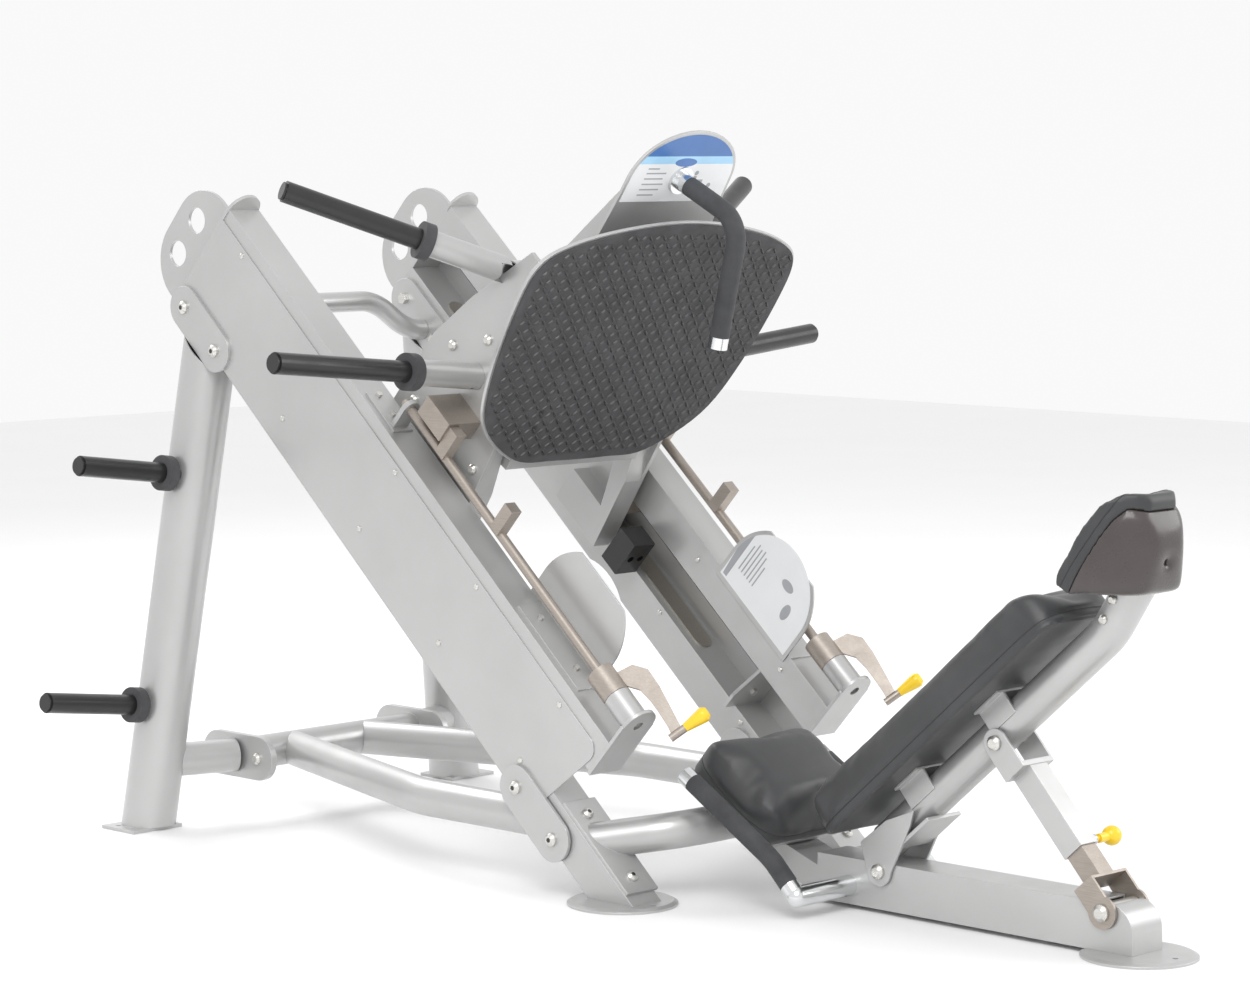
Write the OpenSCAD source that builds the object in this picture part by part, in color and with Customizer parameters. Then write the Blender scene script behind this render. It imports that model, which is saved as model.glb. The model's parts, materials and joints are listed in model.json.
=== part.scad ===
// Plate-loaded leg press: an inclined sled between two rail towers, with safety
// locks, a fixed seat and an adjustable backrest.
// +Y points to the tall end, -Y to the sitter's backrest, +Z up, floor at z = 0.

/* [Rails] */
// slope of the rails above the floor, in degrees
rail_tilt = 42; // [40:1:45]
// middle of the machine to the middle of a rail
rail_x = 352; // [345:1:360]
// width of a rail tube across the machine
rail_w = 88; // [80:1:92]
// depth of a rail tube square to the slope
rail_h = 90; // [80:1:95]
// height of the lower rail's underside, square to the slope
low_n = 222; // [215:1:230]
// height of the upper rail's underside, square to the slope
high_n = 430; // [425:1:435]
// distance up the slope to the rails' top end
rail_end = 1618; // [1600:1:1650]
// wall of the rail and beam tubes
rail_wall = 4; // [3:0.5:5]

/* [Running gear] */
// diameter of the polished guide rods
rod_d = 25; // [20:1:28]
// height of the guide rods' axis, square to the slope
rod_n = 408; // [404:1:410]
// diameter of the lock rods
lock_d = 22; // [18:1:24]
// height of the lock rods' axis, square to the slope
lock_n = 577; // [575:1:580]

/* [Plate pegs] */
// diameter of a plate peg
peg_d = 48; // [46:0.5:50]
// diameter of a rubber collar
collar_d = 84; // [76:1:90]
// thickness of a rubber collar
collar_t = 26; // [20:1:32]

/* [Frame] */
// diameter of a rear upright
upright_d = 128; // [114:1:135]
// diameter of the side tubes
side_d = 84; // [76:1:86]
// diameter of the rear cross tube and the front arch
cross_d = 80; // [76:1:82]
// width and height of the base beam
beam = 100; // [90:1:100]
// diameter of a floor disc
disc_d = 240; // [200:5:260]
// thickness of a floor disc
disc_t = 10; // [8:1:12]

/* [Seat and back] */
// slope of the seat, in degrees
seat_tilt = 36; // [33:1:38]
// width of the seat pad
seat_w = 340; // [320:5:360]
// slope of the backrest tube above the floor, in degrees
back_tilt = 41; // [40:1:42]
// width of the back pad
back_w = 270; // [250:5:300]
// diameter of the backrest tube
back_d = 81; // [76:1:82]

/* [Foot plate] */
// lean of the foot plate past upright, in degrees
plate_lean = 33; // [30:1:36]
// thickness of the steel plate
plate_t = 8; // [6:1:10]
// thickness of the tread mat
mat_t = 6; // [4:1:8]

/* [Hidden] */
$fn = 72;

coat = [0.80, 0.81, 0.82];
nickel = [0.72, 0.69, 0.64];
chrome = [0.86, 0.87, 0.88];
black = [0.06, 0.06, 0.06];
rubber = [0.16, 0.16, 0.17];
vinyl = [0.22, 0.22, 0.23];
shell_brown = [0.27, 0.24, 0.23];
yellow = [0.98, 0.78, 0.10];
paper = [0.93, 0.94, 0.95];

mid_y = 225.4;       // moves the frame so that its footprint is centred
gap = 0.2;          // air left at every weld line between two pieces
joint = 0.02;       // hairline at each end of a pipe's bend
run_fit = 0.05;     // radial clearance of a running pin
rail_out = rail_x + rail_w / 2;
rail_in = rail_x - rail_w / 2;
cover_t = 3;
loz_t = 8;
loz_out = rail_out + cover_t;

// rear upright: where its axis ends
upright_top = [352, 985, 1140];
upright_foot = [500, 1055, 0];
upright_cut_n = 190;

// storage pegs: a point on the upright's axis and the tip
store_high = [[390, 1000, 838], [736, 1000, 883]];
store_low = [[461, 1037, 290], [818, 1030, 336]];

// sled pegs: a point inside the carriage and the tip
load_low = [[250, 150, 1104], [864, 154, 1161]];
load_high = [[250, 47, 1337], [737, 268, 1523]];
// distance from a peg's first point to its collar
store_collar_at = 78;
load_collar_at = 212;

cross_y = 975;
cross_z = 157;
arch_y = -450;
arch_z = 155;

// backrest hinge, strut top and strut foot, as [y, z]
hinge_a = [-850, 93];
strut_b = [-1154, 401];
strut_c = [-1435, 90];
strut_angle = atan2(strut_c[1] - strut_b[1], strut_c[0] - strut_b[0]);
strut_len = norm(strut_c - strut_b);
pin_d = 16;
open_bore_d = 24;   // the strut's foot is free by 4 mm all round its pin
ear_in = 52;
ear_t = 6;
strut_w = 55;
strut_core_w = 46;
strut_tube_end = 276;
pull_at = 262;

// -------- frames of reference --------
module machine() translate([0, mid_y, 0]) children();
module side(s) mirror([s < 0 ? 1 : 0, 0, 0]) children();
// y runs up the slope and z square to it
module slope() rotate([rail_tilt, 0, 0]) children();
// y runs down the backrest tube and z towards the pad
module back_frame() translate([0, -861, 175]) rotate([-back_tilt, 0, 0]) children();
// y runs up the seat towards its front edge and z out of the seat
module seat_frame_of() translate([0, -675, 118]) rotate([seat_tilt, 0, 0]) children();
// x and y lie in the tread's surface and z points at the sitter
module plate_frame() translate([0, -90, 1200]) rotate([90 + plate_lean, 0, 0]) children();
// y runs from the strut's top pivot to its foot
module strut_frame() translate([0, strut_b[0], strut_b[1]]) rotate([strut_angle, 0, 0]) children();
// x runs up the slope, y square to it and z along the lock rod's side
module in_slope_plane(x) translate([x, 0, 0]) rotate([90, 0, 90]) children();

// -------- helpers --------
function unit(v) = v / norm(v);

module bar(p, q, d, spin = 0) {
  v = q - p;
  translate(p)
    rotate([0, acos(v[2] / norm(v)), atan2(v[1], v[0])])
      rotate([0, 0, spin]) cylinder(d = d, h = norm(v));
}

module pipe(p, q, d, bore) difference() {
  bar(p, q, d);
  bar(p - unit(q - p), q + unit(q - p), bore);
}

function turn(pts, i) =
  acos(unit(pts[i] - pts[i - 1]) * unit(pts[i + 1] - pts[i]));

// pipe through points, with every inner corner bent to radius r; its lengths meet
// at a hairline joint
module bent_pipe(pts, r, d, bore) {
  n = len(pts);
  reach = [for (i = [0:n - 1]) i == 0 || i == n - 1 ? 0 : r * tan(turn(pts, i) / 2) + joint];
  for (i = [0:n - 2]) {
    dir = unit(pts[i + 1] - pts[i]);
    pipe(pts[i] + dir * reach[i], pts[i + 1] - dir * reach[i + 1], d, bore);
  }
  for (i = [1:n - 2]) elbow(pts[i - 1], pts[i], pts[i + 1], r, turn(pts, i))
    difference() {
      circle(d = d);
      circle(d = bore);
    }
}

module elbow(a, b, c, r, angle) {
  u = unit(a - b);
  w = unit(c - b);
  centre = b + unit(u + w) * r / cos(angle / 2);
  ex = unit(b + u * r * tan(angle / 2) - centre);
  ey = -u;
  ez = cross(ex, ey);
  multmatrix([
    [ex[0], ey[0], ez[0], centre[0]],
    [ex[1], ey[1], ez[1], centre[1]],
    [ex[2], ey[2], ez[2], centre[2]],
    [0, 0, 0, 1]
  ])
    rotate_extrude(angle = angle) translate([r, 0]) children();
}

// the same path with both its ends drawn in
function shorten(pts, from, to) = [
  for (i = [0:len(pts) - 1])
    i == 0 ? pts[0] + unit(pts[1] - pts[0]) * from
    : i == len(pts) - 1 ? pts[i] + unit(pts[i - 1] - pts[i]) * to
    : pts[i]
];

// box from y0 to y1, centred on x and z
module long_box(w, y0, y1, h) translate([-w / 2, y0, -h / 2]) cube([w, y1 - y0, h]);

module box_tube(w, y0, y1, h, wall) difference() {
  long_box(w, y0, y1, h);
  long_box(w - 2 * wall, y0 - 1, y1 + 1, h - 2 * wall);
}

// rounded rectangle, centred
module round_rect(w, h, r) {
  square([w - 2 * r, h], center = true);
  square([w, h - 2 * r], center = true);
  for (i = [-1, 1], j = [-1, 1])
    translate([i * (w / 2 - r), j * (h / 2 - r)]) circle(r = r);
}

// slot shape with round ends, centred, long side on x
module lozenge(long, wide) {
  square([long - wide, wide], center = true);
  for (i = [-1, 1]) translate([i * (long - wide) / 2, 0]) circle(d = wide);
}

// closed smooth curve through a few points
function curve(p, steps) = [
  for (i = [0:len(p) - 1], j = [0:steps - 1])
    spline(p[(i + len(p) - 1) % len(p)], p[i], p[(i + 1) % len(p)], p[(i + 2) % len(p)], j / steps)
];
function spline(a, b, c, d, t) =
  0.5 * (2 * b + (c - a) * t + (2 * a - 5 * b + 4 * c - d) * t * t + (3 * b - a - 3 * c + d) * t * t * t);

module hex_head(d, h) cylinder(d = d / cos(30), h = h, $fn = 6);
module button_head(d, h) {
  cylinder(d = d, h = h / 2);
  translate([0, 0, h / 2]) cylinder(d1 = d, d2 = d * 0.6, h = h / 2);
}

module below_slope(n, size = 5000) slope() translate([-size / 2, -size / 2, n - size]) cube(size);
module above_slope(n, size = 5000) slope() translate([-size / 2, -size / 2, n]) cube(size);
module below_floor(z) translate([-1500, -2000, z - 1000]) cube([3000, 4000, 1000]);

// -------- rail towers --------
module rail_lower(s) machine() side(s) difference() {
  slope() translate([rail_x, 0, low_n + rail_h / 2]) box_tube(rail_w, -430, rail_end, rail_h, rail_wall);
  below_floor(disc_t);
}
module left_rail_lower() color(coat) rail_lower(-1);
module right_rail_lower() color(coat) rail_lower(1);

module rail_upper(s) machine() side(s) slope()
  translate([rail_x, 0, high_n + rail_h / 2]) box_tube(rail_w, -50, rail_end, rail_h, rail_wall);
module left_rail_upper() color(coat) rail_upper(-1);
module right_rail_upper() color(coat) rail_upper(1);

// outer skin: one sheet over both rails, its foot cut on a slant
module cover(s) machine() side(s) slope() in_slope_plane(rail_out) linear_extrude(cover_t) {
  polygon([[14, 226], [rail_end, 226], [rail_end, 488], [-5, 488], [-37, 455], [-4, 290]]);
  translate([-5, 456]) circle(r = 32);
}
module left_cover() color(coat) cover(-1);
module right_cover() color(coat) cover(1);

// closing plate with a round tongue, and the round plate with two hand holes
module top_plate(s) machine() side(s) slope() {
  translate([0, rail_end + 8, 0]) rotate([90, 0, 0]) linear_extrude(8) {
    translate([rail_in + gap, 216]) square([rail_w + cover_t - 2 * gap, 300]);
    translate([rail_x, 514]) circle(r = rail_w / 2 + 2);
  }
  in_slope_plane(rail_x + 1) linear_extrude(8) difference() {
    union() {
      translate([rail_end + 8, 190]) square([52, 298]);
      translate([1678, 300]) circle(r = 110);
      translate([1678, 378]) circle(r = 110);
      translate([1700, 300]) square([88, 78]);
    }
    translate([rail_end - 300, 0]) square([308, 700]);
    for (n = [283, 390]) translate([1722, n]) circle(d = 61);
  }
}
module left_top_plate() color(coat) top_plate(-1);
module right_top_plate() color(coat) top_plate(1);

// end plate under the upper rail, with the lock rod's fixed socket
module bottom_plate(s) machine() side(s) slope() {
  difference() {
    translate([0, -50, 0]) rotate([90, 0, 0]) linear_extrude(8) {
      translate([rail_in - 2, high_n - 4]) square([rail_w + 5, lock_n - high_n + 4]);
      translate([rail_x, lock_n]) circle(r = 44);
    }
    translate([rail_x, 0, lock_n]) rotate([90, 0, 0]) cylinder(d = lock_d + 2, h = 200, center = true);
  }
  translate([rail_x, 26, lock_n]) rotate([90, 0, 0]) difference() {
    cylinder(d = 62, h = 76);
    translate([0, 0, -1]) cylinder(d = lock_d + 2 * run_fit, h = 80);
  }
}
module left_bottom_plate() color(coat) bottom_plate(-1);
module right_bottom_plate() color(coat) bottom_plate(1);

module guide_rods() color(chrome) machine() for (s = [-1, 1]) side(s) slope()
  translate([rail_x + 3, rail_end, rod_n]) rotate([90, 0, 0]) cylinder(d = rod_d, h = rail_end - 150);

module wear_strips() color(nickel) machine() for (s = [-1, 1]) side(s) slope()
  translate([rail_x + 3, 905, low_n + rail_h]) rotate([0, 0, 90]) linear_extrude(4) lozenge(1170, 52);

// stop plates that close the channel under the sled
module gussets() color(coat) machine() for (s = [-1, 1]) side(s) slope()
  translate([0, 150, 0]) rotate([90, 0, 0]) linear_extrude(8)
    polygon([[rail_out, 312], [rail_out, 430], [rail_in, 430], [rail_in - 34, 350], [rail_in - 34, 312]]);

// -------- rear frame --------
module upright_bar(d) bar(
  upright_foot - unit(upright_top - upright_foot) * 30,
  upright_top + unit(upright_top - upright_foot) * 120, d, 65);

module upright(s) machine() side(s) {
  difference() {
    upright_bar(upright_d);
    upright_bar(upright_d - 2 * rail_wall);
    above_slope(upright_cut_n);
    below_floor(8 + joint);
  }
  // block between the tube's end and the rail
  slope() translate([rail_x - 42, 1432, upright_cut_n + joint]) cube([84, 126, low_n - upright_cut_n - joint]);
  difference() {
    translate([515 - 73, 1060 - 60, 0]) cube([146, 120, 8]);
    translate([565, 1085, -1]) cylinder(d = 13, h = 10);
  }
}
module left_upright() color(coat) upright(-1);
module right_upright() color(coat) upright(1);

module along(line, t0, t1, d) {
  dir = unit(line[1] - line[0]);
  bar(line[0] + dir * t0, line[0] + dir * t1, d);
}

// plate peg with a thinner root that starts inside its collar
module peg(line, root, start) {
  len = norm(line[1] - line[0]);
  along(line, root, start, peg_d - 2);
  along(line, start, len - 6, peg_d);
  along(line, len - 6, len, peg_d - 8);
}

module storage_pegs() color(black) machine() for (s = [-1, 1], line = [store_high, store_low]) side(s)
  difference() {
    peg(line, 0, store_collar_at + collar_t + 1);
    upright_bar(upright_d + 2 * gap);
  }

module collar(line, at) difference() {
  along(line, at, at + collar_t, collar_d);
  along(line, at - 1, at + collar_t + 1, peg_d + 2 * gap);
}

module storage_collars() color(rubber) machine() for (s = [-1, 1], line = [store_high, store_low]) side(s)
  collar(line, store_collar_at);

// cross tube in three lengths, joined at flange pairs
module rear_cross() color(coat) machine() {
  rotate([0, 90, 0]) translate([-cross_z, cross_y, -273]) difference() {
    cylinder(d = cross_d, h = 546);
    translate([0, 0, -1]) cylinder(d = cross_d - 2 * rail_wall, h = 548);
  }
  for (s = [-1, 1]) side(s) {
    translate([273, cross_y, cross_z]) rotate([90, 0, 90]) linear_extrude(16) lozenge(255, 106);
    difference() {
      bar([289, 985, cross_z], [480, 1045, cross_z], cross_d);
      bar([280, 982, cross_z], [480, 1045, cross_z], cross_d - 2 * rail_wall);
      upright_bar(upright_d + 2 * gap);
      translate([188.9, 800, 0]) cube([100, 400, 300]);
    }
  }
}

module upper_arch() color(coat) machine() bent_pipe([[-299.8, 952, 1162], [-250, 952, 1162],
  [-180, 996, 1236], [180, 996, 1236], [250, 952, 1162], [299.8, 952, 1162]], 90, 50, 42);

module side_tubes() color(coat) machine() for (s = [-1, 1]) side(s) difference() {
  bent_pipe([[110, 985, 155], [352, 250, 155], [352, -135, 155]], 260, side_d, side_d - 2 * rail_wall);
  translate([-200, cross_y, cross_z]) rotate([0, 90, 0]) cylinder(d = cross_d + 2 * gap, h = 500);
  translate([-200, cross_y, 0]) cube([500, 200, 300]);
  above_slope(low_n - gap);
}

// bracket plates that clamp each rail to the frame, outside and inside
module lozenge_plates() color(coat) machine() for (s = [-1, 1], a = [-6, 1507]) side(s) slope() {
  translate([0, a, 242]) in_slope_plane(loz_out) linear_extrude(loz_t) lozenge(250, 100);
  translate([0, a, 242]) in_slope_plane(rail_in - loz_t) linear_extrude(loz_t) lozenge(250, 100);
}

module front_arch() color(coat) machine() {
  difference() {
    bent_pipe([[385, -258, 118], [232, arch_y, arch_z], [-232, arch_y, arch_z], [-385, -258, 118]],
      150, cross_d, cross_d - 2 * rail_wall);
    below_slope(low_n + rail_h + 8 - gap);
  }
  for (s = [-1, 1]) side(s) difference() {
    slope() translate([rail_x - 52, -302, low_n + rail_h]) cube([94, 258, 8]);
    below_floor(disc_t + gap);
  }
}

// -------- base --------
rise_angle = 20;
rise_h = 60;
module rise() translate([0, -672, 50]) rotate([rise_angle, 0, 0]) children();

module base_beam() color(coat) machine() difference() {
  union() {
    translate([0, 0, disc_t + beam / 2]) long_box(beam, -1446, -672, beam);
    translate([-beam / 2, -1446, disc_t]) rotate([90, 0, 90]) linear_extrude(beam) {
      translate([-60, 0]) square([61, beam - 60]);
      intersection() {
        translate([0, beam - 60]) circle(r = 60);
        translate([-60, 0]) square([61, beam]);
      }
    }
    rise() long_box(beam, -20, 260, rise_h);
  }
  translate([0, 0, disc_t + beam / 2]) long_box(beam - 8, -1440, -676, beam - 8);
  rise() long_box(beam - 8, 10, 300, rise_h - 8);
  translate([-100, arch_y, arch_z]) rotate([0, 90, 0]) cylinder(d = cross_d + 2 * gap, h = 200);
  translate([-100, arch_y, 0]) cube([200, 200, 300]);
  for (p = [hinge_a, strut_c]) translate([-100, p[0], p[1]]) rotate([0, 90, 0])
    cylinder(d = p == strut_c ? 38.4 : pin_d + 2 * gap, h = 200);
  translate([-100, strut_c[0] - 22, strut_c[1]]) cube([200, 44, 60]);
  below_floor(disc_t);
}

module floor_discs() color(coat) machine()
  for (p = [[-rail_x, -382], [rail_x, -382], [0, -1487]]) translate([p[0], p[1], 0]) difference() {
    union() {
      cylinder(d = disc_d, h = 5);
      translate([0, 0, 5]) cylinder(d1 = disc_d, d2 = disc_d - 20, h = disc_t - 5);
    }
    translate([0, p[0] == 0 ? -88 : -92, -1]) cylinder(d = 13, h = disc_t + 2);
  }

// -------- lock rod brackets and instruction plates --------
module rod_brackets() color(coat) machine() for (s = [-1, 1]) side(s) slope() difference() {
  union() {
    translate([rail_x - 30, 883, high_n + rail_h]) cube([60, 124, 5]);
    translate([rail_x - 22, 896, high_n + rail_h + 4]) cube([44, 12, lock_n - high_n - rail_h - 4]);
    translate([rail_x, 908, lock_n]) rotate([90, 0, 0]) cylinder(d = 44, h = 12);
  }
  translate([rail_x, 1000, lock_n]) rotate([90, 0, 0]) cylinder(d = lock_d + 2 * run_fit, h = 200);
}

module sign_brackets() color(coat) machine() for (s = [-1, 1]) side(s) slope() {
  translate([rail_in, 98, high_n + rail_h]) cube([72, 250, 4]);
  in_slope_plane(rail_in - 4) linear_extrude(4) {
    translate([110, high_n + rail_h - 20]) square([280, 90]);
    intersection() {
      translate([250, high_n + rail_h + 65]) circle(r = 140);
      translate([110, high_n + rail_h + 69]) square([280, 106]);
    }
  }
}

// -------- seat --------
seat_low = -45;  // underside of the pad, square to the seat
module seat_frame() color(coat) machine() {
  seat_frame_of() translate([-110, 70, seat_low - 8]) cube([220, 220, 8]);
  difference() {
    for (y = [-580, -520]) translate([-40, y, 50]) cube([80, 30, 190]);
    seat_frame_of() translate([-400, -300, seat_low - 8]) cube([800, 1200, 600]);
    rise() translate([-400, -100, rise_h / 2 + gap - 300]) cube([800, 600, 300]);
  }
}

module seat_pad() color(vinyl) machine() seat_frame_of() intersection() {
  translate([0, 190, seat_low + gap]) linear_extrude(98) round_rect(seat_w, 290, 70);
  rotate([90, 0, 90]) linear_extrude(seat_w + 2, center = true) {
    translate([190, 4]) round_rect(290, 98, 44);
    translate([80, seat_low]) square([255, 60]);
  }
}

seat_handle = [[217, -772, 40], [217, -690, 120], [217, -440, 270]];
module seat_handles() color(chrome) machine() for (s = [-1, 1]) side(s) {
  bar([beam / 2 + gap, -762, 50], [217, -762, 50], 45);
  translate([217, -762, 50]) sphere(d = 45);
  bent_pipe(seat_handle, 160, 30, 22);
  along([seat_handle[0], seat_handle[1]], 16, 44, 42);
  along([seat_handle[2], seat_handle[1]], 0, 26, 42);
}

module seat_grips() color(rubber) machine() for (s = [-1, 1]) side(s)
  bent_pipe(shorten(seat_handle, 44.2, 26.2), 160, 42, 30 + 2 * gap);

// -------- fasteners of the frame --------
screw_rows = [290, 472];
screw_at = [104, 453, 806, 1160, 1513];
module cover_screws() color(nickel) machine() for (s = [-1, 1], n = screw_rows, a = screw_at) side(s) slope() {
  if (n > 400 || a < 1400)
    translate([rail_out + cover_t, a, n]) rotate([0, 90, 0]) button_head(13, 4);
  if (n > 400 || a < 1400)
    translate([rail_in, a, n + 6]) rotate([0, -90, 0]) button_head(13, 4);
}

module frame_bolts() color(nickel) machine() for (s = [-1, 1]) side(s) {
  slope() {
    for (a = [-81, 69, 1433, 1581]) {
      translate([loz_out + loz_t, a, 242]) rotate([0, 90, 0]) button_head(30, 11);
      translate([rail_in - loz_t, a, 242]) rotate([0, -90, 0]) hex_head(24, 13);
    }
    for (a = [-262, -84]) translate([rail_x, a, low_n + rail_h + 8]) button_head(26, 10);
    for (a = [934, 996]) translate([rail_x, a, high_n + rail_h + 5]) hex_head(13, 7);
    for (a = [156, 304]) translate([rail_x - 7, a, high_n + rail_h + 4]) hex_head(13, 7);
    translate([rail_x - 20, 142, 360]) rotate([90, 0, 0]) hex_head(16, 9);
  }
  for (j = [-75, 75]) {
    translate([273, cross_y + j, cross_z]) rotate([0, -90, 0]) hex_head(24, 13);
    translate([289, cross_y + j, cross_z]) rotate([0, 90, 0]) button_head(28, 11);
  }
}

// pins of the backrest hinge and of the strut's foot
module hinge_bolts() color(nickel) machine() {
  for (p = [hinge_a, strut_c]) translate([0, p[0], p[1]]) rotate([0, 90, 0]) {
    cylinder(d = pin_d, h = 2 * (ear_in + ear_t) + 4, center = true);
    for (k = [0, 180]) rotate([k, 0, 0]) translate([0, 0, ear_in + ear_t + 0.6])
      button_head(p == strut_c ? 36 : 32, 11);
  }
  translate([-50, strut_c[0], strut_c[1]]) rotate([0, 90, 0]) difference() {
    cylinder(d = 38, h = 100);
    translate([0, 0, -1]) cylinder(d = pin_d + 2 * gap, h = 102);
  }
}

// -------- sled --------
carriage_x = 266;
carriage_t = 10;
module behind_plate() plate_frame() translate([-600, -900, -mat_t - plate_t - gap]) cube([1200, 1800, 900]);

module carriage(s) machine() side(s) difference() {
  union() {
    slope() in_slope_plane(carriage_x) linear_extrude(carriage_t)
      polygon([[620, 330], [1010, 330], [1015, 700], [980, 840], [905, 1050],
        [740, 1050], [690, 640], [640, 450], [620, 450]]);
    slope() translate([carriage_x - 52, 640, 400]) rotate([-20, 0, 0]) cube([52, 50, 260]);
    slope() translate([carriage_x - 52, 620, 325]) cube([52, 200, 90]);
  }
  behind_plate();
}
module left_carriage() color(coat) carriage(-1);
module right_carriage() color(coat) carriage(1);

rib = [[-250, -10], [-250, -120], [-225, -178], [50, -218], [120, -190], [300, -125],
  [300, -89.2], [58, -89.2], [58, -10]];

// cross tubes, ribs behind the foot plate, sign posts and the pegs' arms
module sled_bridge() color(coat) machine() difference() {
  union() {
    for (line = [load_low, load_high]) {
      cross_at = line[0];
      translate([-carriage_x + gap, cross_at[1], cross_at[2]]) rotate([0, 90, 0])
        cylinder(d = 60, h = 2 * (carriage_x - gap));
      for (s = [-1, 1]) side(s) difference() {
        along(line, 0, load_collar_at, 60);
        translate([0, -200, 900]) cube([carriage_x + carriage_t + gap, 800, 800]);
      }
    }
    for (x = [-124, 116]) translate([x, 0, 0]) plate_frame() rotate([90, 0, 90])
      linear_extrude(8) polygon(rib);
  }
  behind_plate();
  for (line = [load_low, load_high]) translate([-300, line[0][1], line[0][2]]) rotate([0, 90, 0])
    cylinder(d = 52, h = 600);
}

tread_half = [[0, 295], [180, 279], [330, 243], [408, 192], [424, 90], [404, -100], [349, -245], [213, -342],
  [80, -353]];
tread = concat(tread_half, [for (i = [len(tread_half) - 1:-1:1]) [-tread_half[i][0], tread_half[i][1]]]);

module foot_plate() color(coat) machine() plate_frame() {
  translate([0, 0, -mat_t - plate_t]) linear_extrude(plate_t) polygon(curve(tread, 6));
  translate([-210, -372, -46]) cube([420, 24, 34]);
}

module foot_mat() color(rubber) machine() plate_frame()
  translate([0, 0, -mat_t]) linear_extrude(mat_t) polygon(curve(tread, 6) * 0.985);

// half ellipse on a flared skirt
sign_outline = concat([for (t = [0:10:180]) [165 * cos(t), 120 * sin(t)]],
  [[-168, -70], [-177, -153], [-170, -300], [170, -300], [177, -153], [168, -70]]);
module sign_panel() color(coat) machine() plate_frame() translate([0, 362, -89]) linear_extrude(6)
  polygon(sign_outline);

grab = [[0, -202, 1552], [0, -395, 1453], [0, -329, 1177]];
module sled_handle() color(chrome) machine() {
  bent_pipe(shorten(grab, 48 + joint, 26 + joint), 75, 32, 26);
  along([grab[2], grab[1]], 0, 26, 44);
  along([grab[0], grab[1]], 23 + joint, 48, 44);
  difference() {
    along([grab[0], grab[1]], 0, 23, 66);
    plate_frame() translate([-100, 200, -283 + gap]) cube([200, 300, 200]);
  }
}

module sled_grip() color(rubber) machine() bent_pipe(shorten(grab, 48.2, 26.2), 75, 44, 32 + 2 * gap);

module sled_pegs() color(black) machine() for (s = [-1, 1]) side(s) {
  peg(load_low, load_collar_at + gap, load_collar_at + collar_t + 1);
  peg(load_high, load_collar_at + gap, load_collar_at + collar_t + 1);
}

module sled_collars() color(rubber) machine() for (s = [-1, 1], line = [load_low, load_high]) side(s)
  collar(line, load_collar_at + gap);

// lugs that hang on the lock rods' upper stops
module catch_blocks() color(nickel) machine() for (s = [-1, 1]) side(s) slope() {
  translate([carriage_x + carriage_t, 770.3, 606]) cube([rail_x + 22 - carriage_x - carriage_t, 92, 52]);
}

module bumpers() color(black) machine() for (s = [-1, 1]) side(s) slope() difference() {
  translate([carriage_x - 48, 560, 325]) cube([70, 59.8, 96]);
  for (x = [carriage_x - 28, carriage_x + 4]) translate([x, 580, 373]) rotate([90, 0, 0])
    cylinder(d = 18, h = 60);
}

module rod_bearings() color(nickel) machine() for (s = [-1, 1], a = [690, 950]) side(s) slope() difference() {
  translate([carriage_x + carriage_t, a, rod_n - 22]) cube([rail_x + 25 - carriage_x - carriage_t, 56, 42]);
  translate([rail_x + 3, a + 100, rod_n]) rotate([90, 0, 0]) cylinder(d = rod_d + 2 * run_fit, h = 200);
}

module rollers() color(black) machine() for (s = [-1, 1], a = [830, 985]) side(s) slope()
  translate([0, a, low_n + rail_h + 4 + 25.3]) rotate([0, 90, 0]) {
    translate([0, 0, carriage_x + carriage_t]) cylinder(d = 18, h = 55);
    translate([0, 0, rail_x - 22]) cylinder(d = 50, h = 40);
  }

module sled_bolts() color(nickel) machine() for (s = [-1, 1]) side(s) slope()
  for (p = [[950, 723], [876, 811], [960, 540], [860, 480], [720, 560]])
    translate([carriage_x + carriage_t, p[0], p[1]]) rotate([0, 90, 0]) button_head(24, 9);

// -------- safety locks --------
crank_lean = 39.5;  // the crank's plane leans this far towards +X on both sides
crank_outer = [[72, 30], [66, 66], [36, 88], [-8, 87], [-60, 80], [-118, 72]];
crank_inner = [[-126, 46], [-100, 50], [-58, 52], [-26, 52], [8, 48], [32, 31]];

module lock_axis(x) slope() translate([x, 0, lock_n]) children();
// z = 0 plane holds the crank: x up the slope, y away from the rod
module crank_plane(x) lock_axis(x) rotate([0, crank_lean, 0]) rotate([90, 0, 90]) children();

module lock_rod(x) machine() {
  lock_axis(x) {
    translate([0, 922, 0]) rotate([90, 0, 0]) cylinder(d = lock_d, h = 964);
    difference() {
      translate([0, 96, 0]) rotate([90, 0, 0]) cylinder(d = 62, h = 69);
      rotate([0, 90, 0]) translate([0, 62, 0]) cylinder(d = 20, h = 40);
    }
    for (a = [505, 740]) translate([-15, a, 0]) cube([30, 30, 73]);
  }
  crank_plane(x) {
    difference() {
      translate([0, 0, -4]) linear_extrude(8) polygon(concat(crank_outer, crank_inner));
      rotate([0, -90, 0]) cylinder(d = 60, h = 200, center = true);
    }
    translate([-124, 40, 0]) rotate([-90, 0, 0]) cylinder(d = 18, h = 38);
  }
}
module left_lock_rod() color(nickel) lock_rod(-rail_x);
module right_lock_rod() color(nickel) lock_rod(rail_x);

module lock_knob(x) machine() crank_plane(x) translate([-124, 78, 0]) rotate([-90, 0, 0]) {
  cylinder(d1 = 19, d2 = 34, h = 45);
  translate([0, 0, 45]) cylinder(d = 34, h = 6);
  translate([0, 0, 51]) cylinder(d1 = 34, d2 = 22, h = 9);
}
module left_lock_knob() color(yellow) lock_knob(-rail_x);
module right_lock_knob() color(yellow) lock_knob(rail_x);

// -------- backrest --------
back_path = [[0, -830, 148], [0, -1404, 647], [0, -1500, 801]];

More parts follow.
